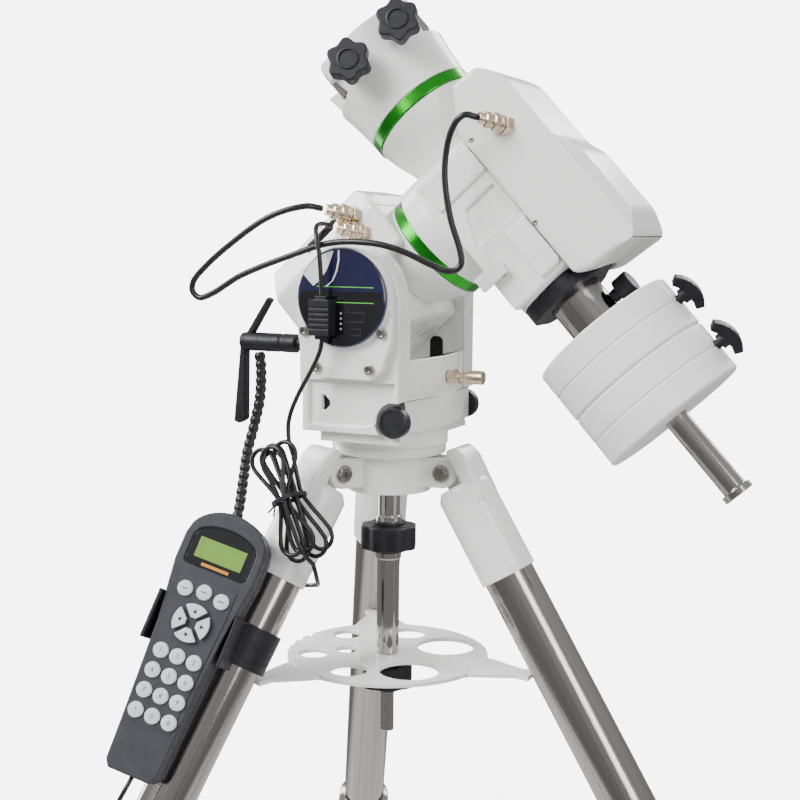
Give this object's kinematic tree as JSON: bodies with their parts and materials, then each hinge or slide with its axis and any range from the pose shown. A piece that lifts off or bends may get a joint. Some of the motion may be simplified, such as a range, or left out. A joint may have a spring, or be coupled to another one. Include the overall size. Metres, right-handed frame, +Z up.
{
  "type": "equatorial mount",
  "caption": "Motorised equatorial mount with worm-driven polar and declination axes, counterweights and a hand controller, on a folding steel tripod with an accessory tray.",
  "frame": {"origin": "on the floor, at the middle of the box around the object without its cables", "axes": "+Z up, +X towards north, the way the polar axis leans and one tripod leg points; +Y is west"},
  "size_m": [0.7578, 0.8674, 1.0953],
  "materials": {
    "white_casting": "gloss white paint over cast aluminium",
    "white_weight": "white paint over cast iron",
    "green_anodised": "bright green anodised",
    "polished_steel": "drawn and polished stainless steel",
    "chrome": "bright plated",
    "silver_alloy": "satin machined alloy",
    "black_plastic": "moulded black plastic",
    "black_metal": "black painted",
    "brass": "machined brass",
    "gunmetal": "plain machined steel",
    "grey_plastic": "moulded dark grey plastic",
    "key_rubber": "light grey silicone rubber",
    "cable_black": "black cable jacket"
  },
  "bodies": {
    "tripod": {"tripod_head": "white_casting", "hank": "cable_black", "lanyard": "cable_black"},
    "rod": {"mount_rod": "chrome"},
    "tray": {"tray": "white_casting"},
    "tray_knob": {"tray_knob": "black_plastic"},
    "base": {"azimuth_base": "white_casting", "fork_cover": "white_casting", "connector_block": "black_plastic", "lead_upper": "cable_black", "lead_lower": "cable_black"},
    "azimuth_knob_near": {"azimuth_knob_near": "black_plastic"},
    "azimuth_knob_far": {"azimuth_knob_far": "black_plastic"},
    "stop_screw": {"altitude_stop_screw": "brass"},
    "lever": {"altitude_lever": "black_metal"},
    "polar": {"polar_housing": "white_casting", "ra_ring": "green_anodised", "ra_motor": "gunmetal", "dec_cable": "cable_black"},
    "ra_worm": {"ra_worm": "brass"},
    "dec_unit": {"dec_housing": "white_casting", "dec_cover": "white_casting", "ra_shaft": "gunmetal", "ra_worm_wheel": "brass", "dec_ring": "green_anodised", "dec_motor": "gunmetal", "cw_shaft": "chrome"},
    "dec_worm": {"dec_worm": "brass"},
    "clutch": {"ra_clutch_lever": "white_casting"},
    "cw_ring": {"cw_lock_ring": "black_metal"},
    "weight_upper": {"weight_upper": "white_weight"},
    "weight_lower": {"weight_lower": "white_weight"},
    "weight_knob_upper": {"weight_knob_upper": "black_plastic"},
    "weight_knob_lower": {"weight_knob_lower": "black_plastic"},
    "shaft_lock": {"shaft_lock_knob": "black_plastic"},
    "saddle": {"saddle": "white_casting", "dec_shaft": "gunmetal"},
    "jaw": {"saddle_jaw": "silver_alloy"},
    "saddle_knob_lower": {"saddle_knob_lower": "black_plastic"},
    "saddle_knob_upper": {"saddle_knob_upper": "black_plastic"},
    "leg_north": {"leg_socket_north": "white_casting", "leg_tube_north": "polished_steel"},
    "foot_north": {"lower_leg_north": "polished_steel"},
    "leg_knob_north": {"leg_lock_knob_north": "black_plastic"},
    "leg_near": {"leg_socket_near": "white_casting", "leg_tube_near": "polished_steel", "handset_case": "grey_plastic", "keypad": "key_rubber", "handset_holder": "black_plastic", "handset_tail": "cable_black"},
    "foot_near": {"lower_leg_near": "polished_steel"},
    "leg_knob_near": {"leg_lock_knob_near": "black_plastic"},
    "leg_far": {"leg_socket_far": "white_casting", "leg_tube_far": "polished_steel"},
    "foot_far": {"lower_leg_far": "polished_steel"},
    "leg_knob_far": {"leg_lock_knob_far": "black_plastic"},
    "key_up": {"arrow_key_up": "key_rubber"},
    "key_down": {"arrow_key_down": "key_rubber"},
    "key_left": {"arrow_key_left": "key_rubber"},
    "key_right": {"arrow_key_right": "key_rubber"}
  },
  "joints": [
    {"name": "azimuth", "type": "hinge", "parent": "tripod", "child": "base", "pos_m": [-0.11833, 0, 0.72], "axis": [0, 0, 1], "range_deg": [-6, 6], "deforming": ["lead_lower", "lanyard"]},
    {"name": "azimuth_knob_near_turn", "type": "hinge", "parent": "base", "child": "azimuth_knob_near", "pos_m": [-0.07833, -0.075, 0.748], "axis": [0, -1, 0], "range_deg": [-1215, 1215]},
    {"name": "azimuth_knob_far_turn", "type": "hinge", "parent": "base", "child": "azimuth_knob_far", "pos_m": [-0.07833, 0.075, 0.748], "axis": [0, 1, 0], "range_deg": [-1215, 1215]},
    {"name": "altitude", "type": "hinge", "parent": "base", "child": "polar", "pos_m": [-0.11833, 0, 0.8495], "axis": [0, -1, 0], "range_deg": [-22.5, 17.5], "deforming": ["lead_upper"]},
    {"name": "lever_stroke", "type": "hinge", "parent": "base", "child": "lever", "pos_m": [-0.21833, 0, 0.802], "axis": [1, 0, 0], "range_deg": [-20, 40]},
    {"name": "stop_screw_turn", "type": "hinge", "parent": "base", "child": "stop_screw", "pos_m": [-0.03833, 0, 0.7804], "axis": [1, 0, 0], "range_deg": [0, 1080]},
    {"name": "right_ascension", "type": "hinge", "parent": "polar", "child": "dec_unit", "pos_m": [-0.07409, 0, 0.89004], "axis": [0.7373, 0, 0.6756], "range_deg": [-95, 95], "deforming": ["dec_cable"]},
    {"name": "ra_worm_turn", "type": "hinge", "parent": "polar", "child": "ra_worm", "pos_m": [-0.14632, 0, 0.87783], "axis": [0, 1, 0], "range_deg": [-13700, 13700]},
    {"name": "declination", "type": "hinge", "parent": "dec_unit", "child": "saddle", "pos_m": [-0.08719, 0, 1.0001], "axis": [-0.6756, 0, 0.7373], "continuous": true},
    {"name": "dec_worm_turn", "type": "hinge", "parent": "dec_unit", "child": "dec_worm", "pos_m": [-0.03947, 0, 1.00694], "axis": [0, 1, 0], "continuous": true},
    {"name": "clutch_turn", "type": "hinge", "parent": "dec_unit", "child": "clutch", "pos_m": [-0.00072, -0.045, 0.87317], "axis": [0, -1, 0], "range_deg": [-40, 30]},
    {"name": "cw_ring_turn", "type": "hinge", "parent": "dec_unit", "child": "cw_ring", "pos_m": [0.04387, 0, 0.85707], "axis": [0.6756, 0, -0.7373], "continuous": true},
    {"name": "shaft_lock_turn", "type": "hinge", "parent": "dec_unit", "child": "shaft_lock", "pos_m": [0.09148, 0, 0.86136], "axis": [0.7373, 0, 0.6756], "range_deg": [0, 720]},
    {"name": "weight_upper_slide", "type": "slide", "parent": "dec_unit", "child": "weight_upper", "axis": [0.6756, 0, -0.7373], "range_m": [0, 0.035]},
    {"name": "weight_lower_slide", "type": "slide", "parent": "weight_upper", "child": "weight_lower", "axis": [0.6756, 0, -0.7373], "range_m": [0, 0.035]},
    {"name": "weight_knob_upper_turn", "type": "hinge", "parent": "weight_upper", "child": "weight_knob_upper", "pos_m": [0.1397, 0, 0.85611], "axis": [0.7373, 0, 0.6756], "range_deg": [0, 720]},
    {"name": "weight_knob_lower_turn", "type": "hinge", "parent": "weight_lower", "child": "weight_knob_lower", "pos_m": [0.17118, 0, 0.82175], "axis": [0.7373, 0, 0.6756], "range_deg": [0, 720]},
    {"name": "jaw_slide", "type": "slide", "parent": "saddle", "child": "jaw", "axis": [-0.2606, 0.9354, -0.2388], "range_m": [-0.002, 0.0045]},
    {"name": "saddle_knob_lower_turn", "type": "hinge", "parent": "jaw", "child": "saddle_knob_lower", "pos_m": [-0.12488, -0.0651, 1.03745], "axis": [0.2606, -0.9354, 0.2388], "range_deg": [-600, 1320]},
    {"name": "saddle_knob_upper_turn", "type": "hinge", "parent": "jaw", "child": "saddle_knob_upper", "pos_m": [-0.08984, -0.04715, 1.06956], "axis": [0.2606, -0.9354, 0.2388], "range_deg": [-600, 1320]},
    {"name": "rod_turn", "type": "hinge", "parent": "tripod", "child": "rod", "pos_m": [-0.11833, 0, 0.635], "axis": [0, 0, 1], "continuous": true},
    {"name": "tray_slide", "type": "slide", "parent": "tripod", "child": "tray", "axis": [0, 0, -1], "range_m": [0, 0.04]},
    {"name": "tray_knob_turn", "type": "hinge", "parent": "tray", "child": "tray_knob", "pos_m": [-0.11833, 0, 0.52], "axis": [0, 0, 1], "continuous": true},
    {"name": "leg_fold_north", "type": "hinge", "parent": "tripod", "child": "leg_north", "pos_m": [-0.06331, 0, 0.69718], "axis": [0, 1, 0], "range_deg": [0, 5.1]},
    {"name": "foot_slide_north", "type": "slide", "parent": "leg_north", "child": "foot_north", "axis": [0.515, 0, -0.8572], "range_m": [0, 0.3]},
    {"name": "leg_knob_turn_north", "type": "hinge", "parent": "leg_north", "child": "leg_knob_north", "pos_m": [0.24722, 0, 0.2623], "axis": [0.8572, 0, 0.515], "range_deg": [0, 720]},
    {"name": "leg_fold_near", "type": "hinge", "parent": "tripod", "child": "leg_near", "pos_m": [-0.14583, -0.04764, 0.69718], "axis": [0.866, -0.5, 0], "range_deg": [0, 5.1], "deforming": ["handset_tail"]},
    {"name": "foot_slide_near", "type": "slide", "parent": "leg_near", "child": "foot_near", "axis": [-0.2575, -0.446, -0.8572], "range_m": [0, 0.3]},
    {"name": "leg_knob_turn_near", "type": "hinge", "parent": "leg_near", "child": "leg_knob_near", "pos_m": [-0.3011, -0.31657, 0.2623], "axis": [-0.4286, -0.7423, 0.515], "range_deg": [0, 720]},
    {"name": "leg_fold_far", "type": "hinge", "parent": "tripod", "child": "leg_far", "pos_m": [-0.14583, 0.04764, 0.69718], "axis": [-0.866, -0.5, 0], "range_deg": [0, 5.1]},
    {"name": "foot_slide_far", "type": "slide", "parent": "leg_far", "child": "foot_far", "axis": [-0.2575, 0.446, -0.8572], "range_m": [0, 0.3]},
    {"name": "leg_knob_turn_far", "type": "hinge", "parent": "leg_far", "child": "leg_knob_far", "pos_m": [-0.3011, 0.31657, 0.2623], "axis": [-0.4286, 0.7423, 0.515], "range_deg": [0, 720]},
    {"name": "key_up_press", "type": "slide", "parent": "leg_near", "child": "key_up", "axis": [-0.3093, 0.8785, -0.3642], "range_m": [0, 0.0012], "stiffness_N_per_m": 300, "springref_m": -0.0005},
    {"name": "key_down_press", "type": "slide", "parent": "leg_near", "child": "key_down", "axis": [-0.3093, 0.8785, -0.3642], "range_m": [0, 0.0012], "stiffness_N_per_m": 300, "springref_m": -0.0005},
    {"name": "key_left_press", "type": "slide", "parent": "leg_near", "child": "key_left", "axis": [-0.3093, 0.8785, -0.3642], "range_m": [0, 0.0012], "stiffness_N_per_m": 300, "springref_m": -0.0005},
    {"name": "key_right_press", "type": "slide", "parent": "leg_near", "child": "key_right", "axis": [-0.3093, 0.8785, -0.3642], "range_m": [0, 0.0012], "stiffness_N_per_m": 300, "springref_m": -0.0005}
  ],
  "couplings": [
    {"joint": "azimuth_knob_near_turn", "follows": "azimuth", "ratio": 201},
    {"joint": "azimuth_knob_far_turn", "follows": "azimuth", "ratio": -201},
    {"joint": "ra_worm_turn", "follows": "right_ascension", "ratio": 144},
    {"joint": "dec_worm_turn", "follows": "declination", "ratio": 144},
    {"joint": "saddle_knob_lower_turn", "follows": "jaw_slide", "rad_per_m": 5027},
    {"joint": "saddle_knob_upper_turn", "follows": "jaw_slide", "rad_per_m": 5027},
    {"joint": "leg_fold_north", "follows": "tray_slide", "rad_per_m": 2.18},
    {"joint": "leg_fold_near", "follows": "tray_slide", "rad_per_m": 2.18},
    {"joint": "leg_fold_far", "follows": "tray_slide", "rad_per_m": 2.18}
  ]
}
